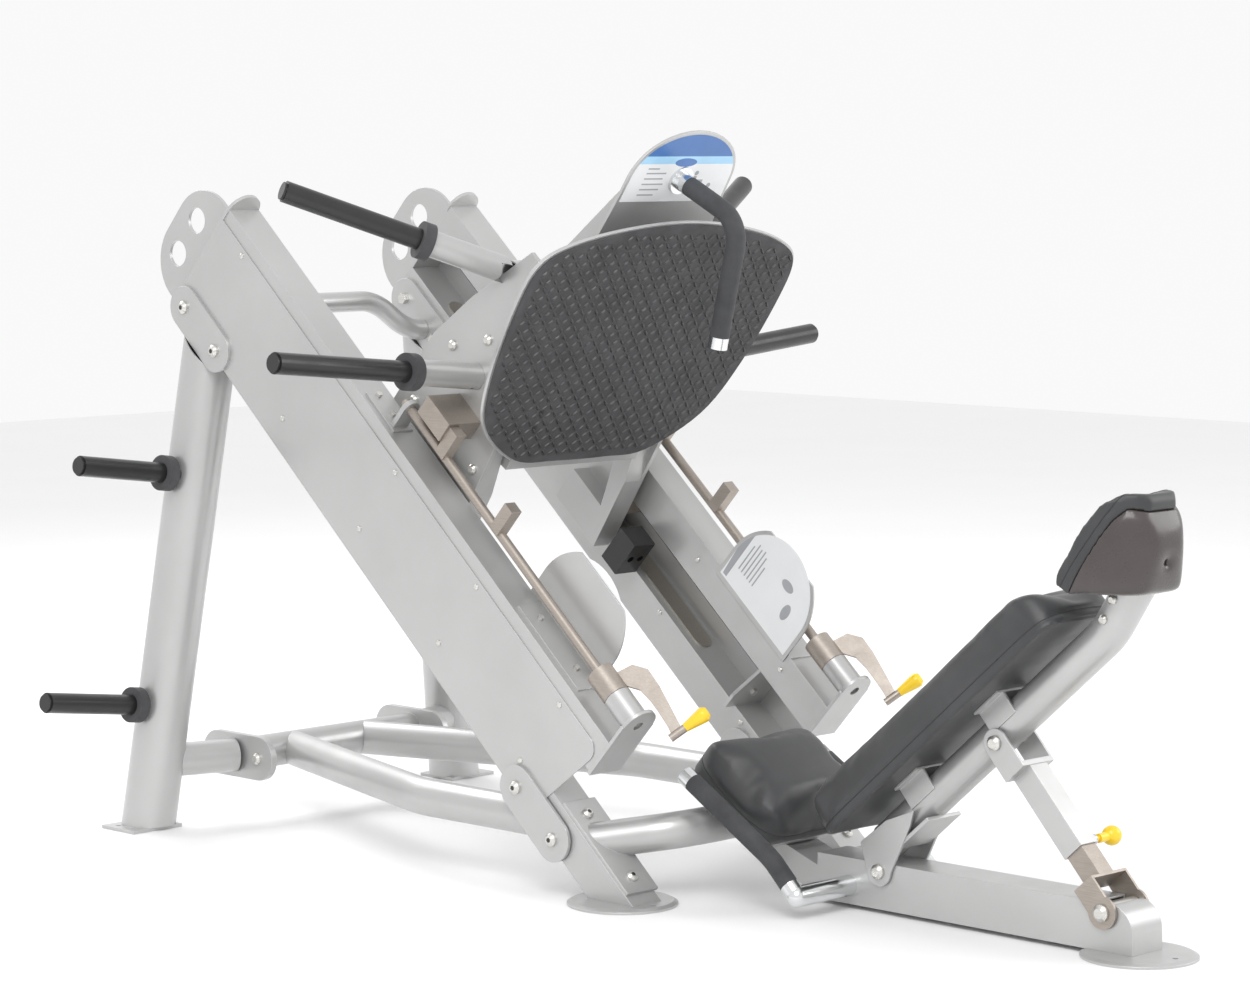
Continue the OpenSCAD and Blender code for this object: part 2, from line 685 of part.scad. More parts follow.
module back_tube() color(coat) machine() {
  difference() {
    bent_pipe(back_path, 180, back_d, back_d - 8);
    translate([-100, strut_b[0], strut_b[1]]) rotate([0, 90, 0]) cylinder(d = pin_d + 2 * gap, h = 200);
  }
  difference() {
    union() {
      // saddles that carry the pad, and the web between the hinge ears
      back_frame() {
        for (y = [-170, -450]) {
          translate([-60, y, 50]) cube([120, 80, 5]);
          for (s = [-1, 1]) side(s) translate([38, y, 0]) cube([6, 80, 52]);
        }
        translate([-ear_in - 2, -120, -47]) cube([2 * ear_in + 4, 110, 8]);
      }
      for (s = [-1, 1]) side(s) translate([ear_in, 0, 0]) rotate([90, 0, 90]) linear_extrude(ear_t)
        difference() {
          union() {
            translate(hinge_a) circle(r = 32);
            polygon([[-818, 93], [-800, 150], [-870, 205], [-945, 235], [-935, 200], [-882, 93]]);
          }
          translate(hinge_a) circle(r = pin_d / 2 + run_fit);
        }
    }
    along([back_path[0], back_path[1]], -100, 640, back_d + 2 * joint);
  }
}

module back_pad() color(vinyl) machine() back_frame() intersection() {
  translate([0, -298, 55.2]) linear_extrude(96) round_rect(back_w, 806, 60);
  rotate([90, 0, 90]) linear_extrude(back_w + 2, center = true) {
    translate([-298, 103]) round_rect(806, 95, 40);
    translate([-701, 55.2]) square([746, 40]);
  }
}

// the head rest narrows towards its rear
module head_plan() linear_extrude(1200)
  polygon([[-120, -1300], [120, -1300], [119, -1425], [100, -1485], [66, -1533], [42, -1554],
    [-42, -1554], [-66, -1533], [-100, -1485], [-119, -1425]]);

module head_shell() color(shell_brown) machine() difference() {
  intersection() {
    rotate([90, 0, 90]) linear_extrude(236, center = true)
      polygon([[-1386, 734], [-1400, 762], [-1450, 845], [-1478, 886], [-1500, 908], [-1528, 902],
        [-1546, 872], [-1552, 820], [-1534, 735]]);
    head_plan();
  }
  along([back_path[1], back_path[2]], -100, norm(back_path[2] - back_path[1]) + gap, back_d + 2 * gap);
  translate([0, -1400, 800]) rotate([90, 0, 0]) cylinder(d = 15, h = 300);
}

module head_pad() color(vinyl) machine() intersection() {
  rotate([90, 0, 90]) linear_extrude(240, center = true)
    polygon([[-1385, 733], [-1350, 748], [-1354, 772], [-1415, 872], [-1450, 916], [-1488, 941], [-1520, 938],
      [-1534, 922], [-1530, 903], [-1499, 909], [-1477, 887], [-1449, 846], [-1399, 762]]);
  translate([0, 22, 0]) head_plan();
}

module back_bolts() color(nickel) machine() {
  translate([0, strut_b[0], strut_b[1]]) rotate([0, 90, 0]) {
    cylinder(d = pin_d, h = 110, center = true);
    for (k = [0, 180]) rotate([k, 0, 0]) translate([0, 0, 52]) button_head(32, 11);
  }
  for (p = [[-1440, 721], [-1417, 679]]) translate([-back_d / 2, p[0], p[1]]) rotate([0, -90, 0])
    button_head(20, 8);
}

// -------- strut --------
module strut_outer() color(coat) machine() strut_frame() difference() {
  union() {
    long_box(strut_w, 72, strut_tube_end, strut_w);
    for (s = [-1, 1]) side(s) translate([45, 0, 0]) rotate([90, 0, 90]) linear_extrude(6) {
      circle(r = 30);
      translate([0, -30]) square([78, 60]);
    }
    translate([-51, 66, -30]) cube([102, 12, 60]);
    translate([strut_w / 2 - 1, pull_at - 4, 0]) rotate([0, 90, 0]) cylinder(d = 24, h = 30);
  }
  long_box(strut_core_w + 2, 80, strut_tube_end + 1, strut_core_w + 2);
  rotate([0, 90, 0]) cylinder(d = pin_d + 2 * run_fit, h = 200, center = true);
  translate([0, pull_at - 4, 0]) rotate([0, 90, 0]) cylinder(d = 12 + 2 * run_fit, h = 100);
  for (k = [-14, 14]) translate([0, 225 + k, 0]) cylinder(d = 11, h = 60);
  translate([-5.5, 211, 0]) cube([11, 28, 60]);
}

module strut_inner() color(nickel) machine() strut_frame() difference() {
  union() {
    long_box(strut_core_w, 90, strut_len - 68, strut_core_w);
    translate([-ear_in - ear_t, strut_len - 72, -28]) cube([2 * (ear_in + ear_t), 6, 56]);
    for (s = [-1, 1]) side(s) translate([ear_in, 0, 0]) rotate([90, 0, 90]) linear_extrude(ear_t) {
      translate([strut_len, 0]) circle(r = 34);
      translate([strut_len - 72, -28]) square([60, 56]);
    }
  }
  long_box(strut_core_w - 8, 89, strut_len - 76, strut_core_w - 8);
  translate([0, strut_len, 0]) rotate([0, 90, 0]) cylinder(d = open_bore_d, h = 200, center = true);
}

module pull_pin() color(yellow) machine() strut_frame() translate([0, pull_at - 4, 0]) rotate([0, 90, 0]) {
  translate([0, 0, strut_core_w / 2 + 0.6]) cylinder(d = 12, h = 86);
  translate([0, 0, 72]) cylinder(d = 20, h = 30);
  translate([0, 0, 118]) sphere(d = 42);
}

left_rail_lower();
right_rail_lower();
left_rail_upper();
right_rail_upper();
left_cover();
right_cover();
left_top_plate();
right_top_plate();
left_bottom_plate();
right_bottom_plate();
guide_rods();
wear_strips();
gussets();
left_upright();
right_upright();
storage_pegs();
storage_collars();
rear_cross();
upper_arch();
side_tubes();
lozenge_plates();
front_arch();
base_beam();
floor_discs();
rod_brackets();
sign_brackets();
seat_frame();
seat_pad();
seat_handles();
seat_grips();
cover_screws();
frame_bolts();
hinge_bolts();
left_carriage();
right_carriage();
sled_bridge();
foot_plate();
foot_mat();
sign_panel();
sled_handle();
sled_grip();
sled_pegs();
sled_collars();
catch_blocks();
bumpers();
rod_bearings();
rollers();
sled_bolts();
left_lock_rod();
left_lock_knob();
right_lock_rod();
right_lock_knob();
back_tube();
back_pad();
head_shell();
head_pad();
back_bolts();
strut_outer();
strut_inner();
pull_pin();
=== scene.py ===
import bpy
import bmesh
import json
import math
from mathutils import Matrix, Vector
from mathutils import noise as field
from mathutils.bvhtree import BVHTree


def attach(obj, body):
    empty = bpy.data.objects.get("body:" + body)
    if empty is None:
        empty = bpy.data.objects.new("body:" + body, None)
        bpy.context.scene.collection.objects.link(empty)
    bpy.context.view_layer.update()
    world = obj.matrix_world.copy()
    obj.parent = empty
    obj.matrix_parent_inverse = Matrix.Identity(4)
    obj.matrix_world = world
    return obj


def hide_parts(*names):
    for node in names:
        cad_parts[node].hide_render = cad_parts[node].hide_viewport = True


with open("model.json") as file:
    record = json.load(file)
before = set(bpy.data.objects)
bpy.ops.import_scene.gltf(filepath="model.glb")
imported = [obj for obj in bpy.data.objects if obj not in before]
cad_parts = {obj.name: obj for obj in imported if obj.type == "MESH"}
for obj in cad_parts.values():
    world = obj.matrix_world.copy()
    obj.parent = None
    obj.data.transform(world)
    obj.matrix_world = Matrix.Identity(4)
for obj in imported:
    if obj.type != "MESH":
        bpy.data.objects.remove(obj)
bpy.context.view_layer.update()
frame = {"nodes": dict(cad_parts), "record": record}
NODES = frame["nodes"]

# the CAD's own frame: metres, +Y towards the tall end
SHIFT_Y = 0.2254
SLOPE_DEGREES = 42
TILT = math.radians(SLOPE_DEGREES)

WELD = 0.00005           # points closer than this are one point
CLOTH_FRAMES = 20        # steps of each cloth simulation
FILM = (0.0001, 0.0006)  # a printed film stands this far off its plate
INK = (0.0006, 0.0009)   # and its print this far
# painted shade: flat dark hexagons for the screws' shaded hex sockets lie between these heights
SOCKET_SHADE = (-0.0004, 0.0003)


# ---------------------------------------------------------------- frames
def at(x, y, z):
    return Vector((x, y + SHIFT_Y, z))


def tilted(origin, degrees):
    """Matrix whose y runs at that angle above +Y, with x kept."""
    return Matrix.Translation(origin) @ Matrix.Rotation(math.radians(degrees), 4, "X")


SLOPE = tilted(at(0, 0, 0), SLOPE_DEGREES)
BACK = tilted(at(0, -0.861, 0.175), -41)
SEAT = tilted(at(0, -0.675, 0.118), 36)
PLATE = tilted(at(0, -0.090, 1.200), 123)
HEAD = tilted(at(0, -1.400, 0.750), -57)


# ---------------------------------------------------------------- materials
def link(nt, a, b):
    nt.links.new(a, b)


def material(name, base, rough, metal=0.0, coat=0.0, spec=0.5, sheen=0.0):
    """New node material; returns it with its tree and shader."""
    mat = bpy.data.materials.new(name)
    mat.use_nodes = True
    nt = mat.node_tree
    bsdf = nt.nodes["Principled BSDF"]
    bsdf.inputs["Base Color"].default_value = (*base, 1)
    bsdf.inputs["Roughness"].default_value = rough
    bsdf.inputs["Metallic"].default_value = metal
    bsdf.inputs["Coat Weight"].default_value = coat
    bsdf.inputs["Coat Roughness"].default_value = 0.2
    bsdf.inputs["Specular IOR Level"].default_value = spec
    bsdf.inputs["Sheen Weight"].default_value = sheen
    mat.diffuse_color = (*base, 1)
    return mat, nt, bsdf


def noise(nt, scale, detail=4.0, rough=0.55, stretch=None):
    """Noise in object space; scale is in features per metre."""
    coord = nt.nodes.new("ShaderNodeTexCoord")
    tex = nt.nodes.new("ShaderNodeTexNoise")
    tex.inputs["Scale"].default_value = scale
    tex.inputs["Detail"].default_value = detail
    tex.inputs["Roughness"].default_value = rough
    if stretch:
        mapping = nt.nodes.new("ShaderNodeMapping")
        mapping.inputs["Rotation"].default_value = (stretch[1], 0, 0)
        mapping.inputs["Scale"].default_value = stretch[0]
        link(nt, coord.outputs["Object"], mapping.inputs["Vector"])
        link(nt, mapping.outputs["Vector"], tex.inputs["Vector"])
    else:
        link(nt, coord.outputs["Object"], tex.inputs["Vector"])
    return tex.outputs["Fac"]


def cells(nt, scale):
    coord = nt.nodes.new("ShaderNodeTexCoord")
    tex = nt.nodes.new("ShaderNodeTexVoronoi")
    tex.inputs["Scale"].default_value = scale
    link(nt, coord.outputs["Object"], tex.inputs["Vector"])
    return tex.outputs["Distance"]


def spread(nt, value, lo, hi, out_lo, out_hi):
    node = nt.nodes.new("ShaderNodeMapRange")
    for key, v in (("From Min", lo), ("From Max", hi), ("To Min", out_lo), ("To Max", out_hi)):
        node.inputs[key].default_value = v
    link(nt, value, node.inputs["Value"])
    return node.outputs["Result"]


def tint(nt, bsdf, value, dark, light):
    """Base colour runs from dark to light with value."""
    mix = nt.nodes.new("ShaderNodeMix")
    mix.data_type = "RGBA"
    mix.inputs["A"].default_value = (*dark, 1)
    mix.inputs["B"].default_value = (*light, 1)
    link(nt, value, mix.inputs["Factor"])
    link(nt, mix.outputs["Result"], bsdf.inputs["Base Color"])
    return mix


def rounded(nt, radius=0.0015):
    """Normals of slightly rounded edges, as the base of a bump chain."""
    node = nt.nodes.new("ShaderNodeBevel")
    node.samples = 4
    node.inputs["Radius"].default_value = radius
    return node


def edge_mask(nt, bevel):
    """1 where the rounded normal leaves the flat one, 0 on open faces."""
    geometry = nt.nodes.new("ShaderNodeNewGeometry")
    dot = nt.nodes.new("ShaderNodeVectorMath")
    dot.operation = "DOT_PRODUCT"
    link(nt, bevel.outputs["Normal"], dot.inputs[0])
    link(nt, geometry.outputs["Normal"], dot.inputs[1])
    return spread(nt, dot.outputs["Value"], 0.93, 0.995, 1.0, 0.0)


def bump(nt, bsdf, height, depth, strength=1.0, after=None):
    """Bump of that depth in metres; chains on an earlier bump or bevel."""
    node = nt.nodes.new("ShaderNodeBump")
    node.inputs["Strength"].default_value = strength
    node.inputs["Distance"].default_value = depth
    link(nt, height, node.inputs["Height"])
    if after:
        link(nt, after.outputs["Normal"], node.inputs["Normal"])
    link(nt, node.outputs["Normal"], bsdf.inputs["Normal"])
    return node


def shade(c, k):
    return tuple(min(1.0, v * k) for v in c)


def powder_coat():
    base = (0.50, 0.50, 0.497)
    mat, nt, bsdf = material("powder_coat", base, 0.36, metal=0.55, coat=0.2)
    soft = rounded(nt, 0.002)
    patches = spread(nt, noise(nt, 3.0, 6), 0.3, 0.7, 0, 1)
    body = tint(nt, bsdf, patches, shade(base, 0.95), shade(base, 1.05))
    # painted highlight: the base colour turns lighter along every rounded edge
    edge_highlight = nt.nodes.new("ShaderNodeMix")
    edge_highlight.data_type = "RGBA"
    edge_highlight.inputs["B"].default_value = (*shade(base, 1.22), 1)
    link(nt, edge_mask(nt, soft), edge_highlight.inputs["Factor"])
    link(nt, body.outputs["Result"], edge_highlight.inputs["A"])
    link(nt, edge_highlight.outputs["Result"], bsdf.inputs["Base Color"])
    link(nt, spread(nt, noise(nt, 14.0, 8), 0.3, 0.7, 0.30, 0.42), bsdf.inputs["Roughness"])
    peel = bump(nt, bsdf, noise(nt, 420.0, 2), 0.00005, 0.5, after=soft)
    bump(nt, bsdf, noise(nt, 1800.0, 2), 0.00002, 0.4, after=peel)
    return mat


def brushed(name, base, rough, turn, wear=0.12):
    """Satin metal with fine lines along the part."""
    mat, nt, bsdf = material(name, base, rough, metal=0.85)
    lines = noise(nt, 60.0, 6, 0.7, stretch=((6, 0.35, 6), turn))
    tint(nt, bsdf, spread(nt, lines, 0.3, 0.7, 0, 1), shade(base, 1 - wear), shade(base, 1 + wear))
    gloss = spread(nt, noise(nt, 30.0, 8), 0.3, 0.7, rough - 0.07, rough + 0.1)
    link(nt, gloss, bsdf.inputs["Roughness"])
    bump(nt, bsdf, lines, 0.00004, 0.5, after=rounded(nt, 0.001))
    return mat


def polished(name, base, rough):
    mat, nt, bsdf = material(name, base, rough, metal=1.0)
    link(nt, spread(nt, noise(nt, 25.0, 8), 0.35, 0.75, rough, rough + 0.12), bsdf.inputs["Roughness"])
    tint(nt, bsdf, spread(nt, noise(nt, 9.0, 5), 0.3, 0.7, 0, 1), shade(base, 0.93), shade(base, 1.04))
    bump(nt, bsdf, noise(nt, 900.0, 3), 0.00001, 0.4)
    return mat


def plastic(name, base, rough, grain=900.0, depth=0.00006, coat=0.0, scuff=0.06):
    mat, nt, bsdf = material(name, base, rough, coat=coat)
    patches = spread(nt, noise(nt, 12.0, 7), 0.3, 0.75, 0, 1)
    tint(nt, bsdf, patches, shade(base, 1 - scuff), shade(base, 1 + 2.5 * scuff))
    gloss = spread(nt, noise(nt, 22.0, 8), 0.3, 0.7, rough - 0.06, rough + 0.1)
    link(nt, gloss, bsdf.inputs["Roughness"])
    bump(nt, bsdf, noise(nt, grain, 3), depth, 0.6)
    return mat


def rubber(name, base, grain=500.0):
    mat, nt, bsdf = material(name, base, 0.72, spec=0.35, sheen=0.05)
    tint(nt, bsdf, spread(nt, noise(nt, 16.0, 7), 0.3, 0.7, 0, 1), shade(base, 0.85), shade(base, 1.3))
    link(nt, spread(nt, noise(nt, 35.0, 8), 0.3, 0.7, 0.6, 0.85), bsdf.inputs["Roughness"])
    bump(nt, bsdf, noise(nt, grain, 4), 0.00015, 0.7)
    return mat


def vinyl(name, base):
    """Grained upholstery vinyl with faint creases and rubbed patches."""
    mat, nt, bsdf = material(name, base, 0.42, spec=0.45, sheen=0.08)
    tint(nt, bsdf, spread(nt, noise(nt, 7.0, 6), 0.3, 0.7, 0, 1), shade(base, 0.88), shade(base, 1.18))
    link(nt, spread(nt, noise(nt, 11.0, 7), 0.3, 0.7, 0.34, 0.50), bsdf.inputs["Roughness"])
    grain = bump(nt, bsdf, cells(nt, 650.0), 0.00016, 0.55)
    bump(nt, bsdf, noise(nt, 38.0, 5, 0.6), 0.0005, 0.25, after=grain)
    return mat


def make_materials():
    film = {"grain": 500.0, "depth": 0.00002}
    return {
        "coat": powder_coat(),
        "nickel": brushed("nickel_satin", (0.41, 0.365, 0.325), 0.46, TILT),
        "strip": brushed("strip_satin", (0.46, 0.43, 0.385), 0.42, TILT),
        "chrome": polished("chrome_rod", (0.72, 0.73, 0.75), 0.10),
        "cap": polished("bright_cap", (0.78, 0.79, 0.80), 0.16),
        "sleeve": plastic("black_sleeve", (0.012, 0.012, 0.013), 0.34, coat=0.2),
        "rubber": rubber("grey_rubber", (0.055, 0.055, 0.058)),
        "mat": plastic("tread_rubber", (0.034, 0.034, 0.035), 0.34, grain=700.0, depth=0.00012),
        "foam": rubber("foam_grip", (0.050, 0.051, 0.054), grain=900.0),
        "vinyl": vinyl("charcoal_vinyl", (0.040, 0.041, 0.043)),
        "shell": plastic("moulded_shell", (0.052, 0.043, 0.041), 0.27, grain=1300.0, coat=0.25),
        "yellow": plastic("yellow_grip", (0.86, 0.58, 0.02), 0.30, grain=300.0, coat=0.3),
        "thread": plastic("seam_thread", (0.030, 0.030, 0.032), 0.6, grain=2500.0),
        "label": plastic("label_white", (0.80, 0.81, 0.82), 0.35, coat=0.3, scuff=0.015, **film),
        "label_blue": plastic("label_blue", (0.055, 0.16, 0.42), 0.35, coat=0.3, **film),
        "label_sky": plastic("label_sky", (0.36, 0.62, 0.84), 0.35, coat=0.3, **film),
        "label_grey": plastic("label_grey", (0.36, 0.37, 0.39), 0.45, **film),
        "zinc": brushed("zinc_bolt", (0.66, 0.65, 0.62), 0.30, 0.0),
    }


MATS = make_materials()

LOOK_OF_SLOT = {
    "powder_coat": "coat",
    "nickel_plate": "nickel",
    "polished_rod": "chrome",
    "black_sleeve": "sleeve",
    "grey_rubber": "rubber",
    "upholstery": "vinyl",
    "moulded_shell": "shell",
    "yellow_grip": "yellow",
}
LOOK_OF_NODE = {
    "wear_strips": "strip",
    "cover_screws": "zinc",
    "frame_bolts": "zinc",
    "sled_bolts": "zinc",
    "back_bolts": "zinc",
    "hinge_bolts": "zinc",
    "seat_handles": "cap",
    "sled_handle": "cap",
    "sled_grip": "foam",
    "seat_grips": "foam",
}


def dress_nodes():
    slots = {s["node"]: s["material_slot"] for s in frame["record"]["subparts"]}
    for name, obj in NODES.items():
        look = LOOK_OF_NODE.get(name) or LOOK_OF_SLOT[slots[name]]
        obj.data.materials.clear()
        obj.data.materials.append(MATS[look])
        for poly in obj.data.polygons:
            poly.material_index = 0


dress_nodes()


# ---------------------------------------------------------------- pieces
def new_piece(name, mesh, look, body):
    obj = bpy.data.objects.new(name, mesh)
    bpy.context.scene.collection.objects.link(obj)
    mesh.materials.clear()
    mesh.materials.append(MATS[look])
    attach(obj, body)
    return obj


def mesh_from(name, verts, faces):
    mesh = bpy.data.meshes.new(name)
    mesh.from_pydata([tuple(v) for v in verts], [], faces)
    mesh.update()
    return mesh


def faces_of(node):
    return [tuple(p.vertices) for p in NODES[node].data.polygons]


def tree_of(node):
    return BVHTree.FromPolygons([v.co for v in NODES[node].data.vertices], faces_of(node))


def evaluated(obj):
    graph = bpy.context.evaluated_depsgraph_get()
    graph.update()
    return bpy.data.meshes.new_from_object(obj.evaluated_get(graph))


def prism(matrix, outline, z0, z1):
    """Verts and faces of a flat shape between two heights of a frame."""
    n = len(outline)
    verts = [matrix @ Vector((x, y, z)) for z in (z0, z1) for x, y in outline]
    faces = [tuple(range(n))[::-1], tuple(range(n, 2 * n))]
    faces += [(i, (i + 1) % n, n + (i + 1) % n, n + i) for i in range(n)]
    return verts, faces


def gather(name, parts):
    """One mesh from several lists of verts and faces."""
    verts, faces = [], []
    for part_verts, part_faces in parts:
        base = len(verts)
        verts += part_verts
        faces += [tuple(i + base for i in f) for f in part_faces]
    return mesh_from(name, verts, faces)


def tube_curve(name, loops, radius, look, body):
    """Round tubes along closed loops of points."""
    data = bpy.data.curves.new(name, "CURVE")
    data.dimensions = "3D"
    data.bevel_depth = radius
    data.bevel_resolution = 2
    for loop in loops:
        line = data.splines.new("POLY")
        line.points.add(len(loop) - 1)
        for point, co in zip(line.points, loop):
            point.co = (*co, 1)
        line.use_cyclic_u = True
    data.materials.append(MATS[look])
    obj = bpy.data.objects.new(name, data)
    bpy.context.scene.collection.objects.link(obj)
    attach(obj, body)


# ---------------------------------------------------------------- pads
def cut_loops(mesh, origin, normal):
    """Closed chains of points where a plane cuts a mesh."""
    bm = bmesh.new()
    bm.from_mesh(mesh)
    cut = bmesh.ops.bisect_plane(bm, geom=bm.verts[:] + bm.edges[:] + bm.faces[:],
                                 plane_co=origin, plane_no=normal)
    edges = [e for e in cut["geom_cut"] if isinstance(e, bmesh.types.BMEdge)]
    near = {}
    for e in edges:
        a, b = e.verts
        near.setdefault(a, []).append(b)
        near.setdefault(b, []).append(a)
    loops, seen = [], set()
    for start in near:
        if start in seen:
            continue
        loop, at_vert = [], start
        while at_vert and at_vert not in seen:
            seen.add(at_vert)
            loop.append(at_vert.co.copy())
            at_vert = next((v for v in near[at_vert] if v not in seen), None)
        if len(loop) > 20:
            loops.append(loop)
    bm.free()
    return loops


def swollen(obj, pinned, pressure, cap):
    """Inflates a closed mesh with cloth pressure and caps how far it moves."""
    group = obj.vertex_groups.new(name="held")
    rest = [v.co.copy() for v in obj.data.vertices]
    for i, co in enumerate(rest):
        held = pinned(co)
        if held > 0:
            group.add([i], held, "REPLACE")
    cloth = obj.modifiers.new("cloth", "CLOTH")
    setup = cloth.settings
    setup.quality = 6
    setup.mass = 0.3
    setup.tension_stiffness = 18
    setup.compression_stiffness = 18
    setup.shear_stiffness = 6
    setup.bending_stiffness = 6
    setup.use_pressure = True
    setup.uniform_pressure_force = pressure
    setup.vertex_group_mass = "held"
    setup.effector_weights.gravity = 0
    cloth.point_cache.frame_start = 1
    cloth.point_cache.frame_end = CLOTH_FRAMES
    scene = bpy.context.scene
    for step in range(1, CLOTH_FRAMES + 1):
        scene.frame_set(step)
    after = [v.co.copy() for v in evaluated(obj).vertices]
    obj.modifiers.remove(cloth)
    scene.frame_set(1)
    for vert, old, new in zip(obj.data.vertices, rest, after):
        move = new - old
        if move.length > cap:
            move *= cap / move.length
        vert.co = old + move


def relax(mesh, rounds, held):
    """Evens a voxel mesh out without moving the held points."""
    bm = bmesh.new()
    bm.from_mesh(mesh)
    loose = [v for v in bm.verts if held(v.co) <= 0]
    for _ in range(rounds):
        bmesh.ops.smooth_vert(bm, verts=loose, factor=0.5,
                              use_axis_x=True, use_axis_y=True, use_axis_z=True)
    bm.to_mesh(mesh)
    bm.free()


def welded(mesh):
    bm = bmesh.new()
    bm.from_mesh(mesh)
    bmesh.ops.remove_doubles(bm, verts=bm.verts, dist=WELD)
    bm.to_mesh(mesh)
    bm.free()
    return mesh


def remeshed(obj, voxel):
    """Rebuilds a piece's mesh from voxels of that size."""
    remesh = obj.modifiers.new("voxels", "REMESH")
    remesh.mode = "VOXEL"
    remesh.voxel_size = voxel
    obj.data = evaluated(obj)
    obj.modifiers.remove(remesh)


def subdivided(obj):
    sub = obj.modifiers.new("smooth", "SUBSURF")
    sub.levels = sub.render_levels = 1
    mesh = evaluated(obj)
    obj.modifiers.remove(sub)
    return mesh


def smooth_finish(obj, look):
    """One subdivision, smooth shading and the material, put on again after the remesh."""
    obj.data = subdivided(obj)
    obj.data.materials.clear()
    obj.data.materials.append(MATS[look])
    for poly in obj.data.polygons:
        poly.use_smooth = True


def pad(name, node, matrix, base, inset, cap, pressure, seam_at, body, crown,
        evened=14, held=None, voxel=0.0055):
    """Cushion blown up from a slightly smaller copy of its CAD solid.

    base and seam_at are heights in the pad's frame: its underside, and the sewn
    seam round its side. cap is the most that the cloth may move a point.
    """
    inverse = matrix.inverted()
    up = matrix.to_3x3() @ Vector((0, 0, 1))
    local = [inverse @ v.co for v in NODES[node].data.vertices]
    low = Vector([min(v[i] for v in local) for i in range(3)])
    high = Vector([max(v[i] for v in local) for i in range(3)])
    mid = (low + high) / 2
    scale = [1 - 2 * inset / (high[i] - low[i]) for i in range(2)]
    rise = 1 - inset / (high.z - base)
    small = [Vector((mid.x + (v.x - mid.x) * scale[0],
                     mid.y + (v.y - mid.y) * scale[1],
                     base + (v.z - base) * rise)) for v in local]
    mesh = welded(mesh_from(name, [matrix @ v for v in small], faces_of(node)))
    obj = new_piece(name, mesh, "vinyl", body)
    remeshed(obj, voxel)
    held = held or (lambda co: 1.0 if (inverse @ co).z < base + 0.012 else 0.0)
    relax(obj.data, 4, held)
    swollen(obj, held, pressure, cap)
    relax(obj.data, evened, held)
    for vert in obj.data.vertices:
        place = inverse @ vert.co
        across = 1 - min(1, (2 * (place.x - mid.x) / (high.x - low.x)) ** 2)
        along = 1 - min(1, (2 * (place.y - mid.y) / (high.y - low.y)) ** 4)
        share = max(0, min(1, (place.z - base) / (high.z - base)))
        vert.co += up * (crown * across * along * share)
    obj.data.update()
    normals = [v.normal.copy() for v in obj.data.vertices]
    for vert, normal in zip(obj.data.vertices, normals):
        away = (inverse @ vert.co).z - seam_at
        if abs(away) < 0.03 and held(vert.co) <= 0:
            pull = 0.0016 * math.exp(-(away / 0.006) ** 2)
            pucker = 0.0009 * math.exp(-(away / 0.014) ** 2) * field.noise(vert.co * 55)
            vert.co -= normal * (pull + pucker)
        vert.co += normal * 0.0006 * field.noise(vert.co * 14)
    smooth_finish(obj, "vinyl")
    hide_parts(node)
    loops = cut_loops(obj.data, matrix @ Vector((0, 0, seam_at)), up)
    tube_curve(name + "_seam", loops, 0.0011, "thread", body)


def moulded_shell():
    """The head rest's shell with its edges blown round, as one moulding."""
    name = "head_moulding"
    source = [v.co for v in NODES["head_shell"].data.vertices]
    mesh = welded(mesh_from(name, source, faces_of("head_shell")))
    obj = new_piece(name, mesh, "shell", "backrest")
    remeshed(obj, 0.0035)
    front, tube = tree_of("head_pad"), tree_of("back_tube")

    def kept(co):
        for tree, reach in ((front, 0.004), (tube, 0.005)):
            hit = tree.find_nearest(co, 0.1)
            if hit[0] is not None and hit[3] < reach:
                return 1.0
        return 0.0

    relax(obj.data, 110, kept)
    smooth_finish(obj, "shell")
    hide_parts("head_shell")


def round_shape(x, y, r, n):
    step = 2 * math.pi / n
    return [(x + r * math.cos(t * step), y + r * math.sin(t * step)) for t in range(n)]


# ---------------------------------------------------------------- tread
def add_tread():
    """Raised bars in alternating directions over the whole mat."""
    tree = tree_of("foot_mat")
    down = PLATE.to_3x3() @ Vector((0, 0, -1))

    def inside(x, y):
        hit = tree.ray_cast(PLATE @ Vector((x, y, 0.05)), down, 0.06)
        return hit[0] is not None

    pitch, half, wide, tall = 0.0215, 0.0128, 0.0034, 0.0032
    parts = []
    for i in range(-24, 25):
        for j in range(-20, 21):
            x, y = i * pitch, j * pitch - 0.02
            turn = math.radians(45 if (i + j) % 2 else -45)
            c, s = math.cos(turn), math.sin(turn)
            ring = [(half, 0), (half * 0.5, wide), (-half * 0.5, wide),
                    (-half, 0), (-half * 0.5, -wide), (half * 0.5, -wide)]
            if not all(inside(x + 1.5 * (u * c - v * s), y + 1.5 * (u * s + v * c)) for u, v in ring):
                continue
            verts = []
            for k, z in ((1.0, -0.0002), (0.55, tall)):
                verts += [PLATE @ Vector((x + k * (u * c - v * s), y + k * (u * s + v * c), z))
                          for u, v in ring]
            faces = [(n, (n + 1) % 6, 6 + (n + 1) % 6, 6 + n) for n in range(6)]
            faces.append((6, 7, 8, 9, 10, 11))
            parts.append((verts, faces))
    new_piece("tread_bars", gather("tread_bars", parts), "mat", "sled")
    screws = []
    for x in (-0.195, 0.195):
        for y in (0.055, 0.012, -0.205, -0.248):
            screws.append(prism(PLATE, round_shape(x, y, 0.007, 24), -0.001, 0.0009))
            screws.append(prism(PLATE, round_shape(x, y, 0.0026, 6), 0.0009, 0.0012))
    new_piece("tread_screws", gather("tread_screws", screws), "sleeve", "sled")


# ---------------------------------------------------------------- labels
def clip(outline, keep):
    """Keeps the part of a polygon where keep(point) >= 0."""
    out = []
    for i, p in enumerate(outline):
        q = outline[(i + 1) % len(outline)]
        a, b = keep(p), keep(q)
        if a >= 0:
            out.append(p)
        if (a < 0) != (b < 0):
            t = a / (a - b)
            out.append((p[0] + (q[0] - p[0]) * t, p[1] + (q[1] - p[1]) * t))
    return out


def bar_shape(x, y, w, h):
    return [(x, y), (x + w, y), (x + w, y + h), (x, y + h)]


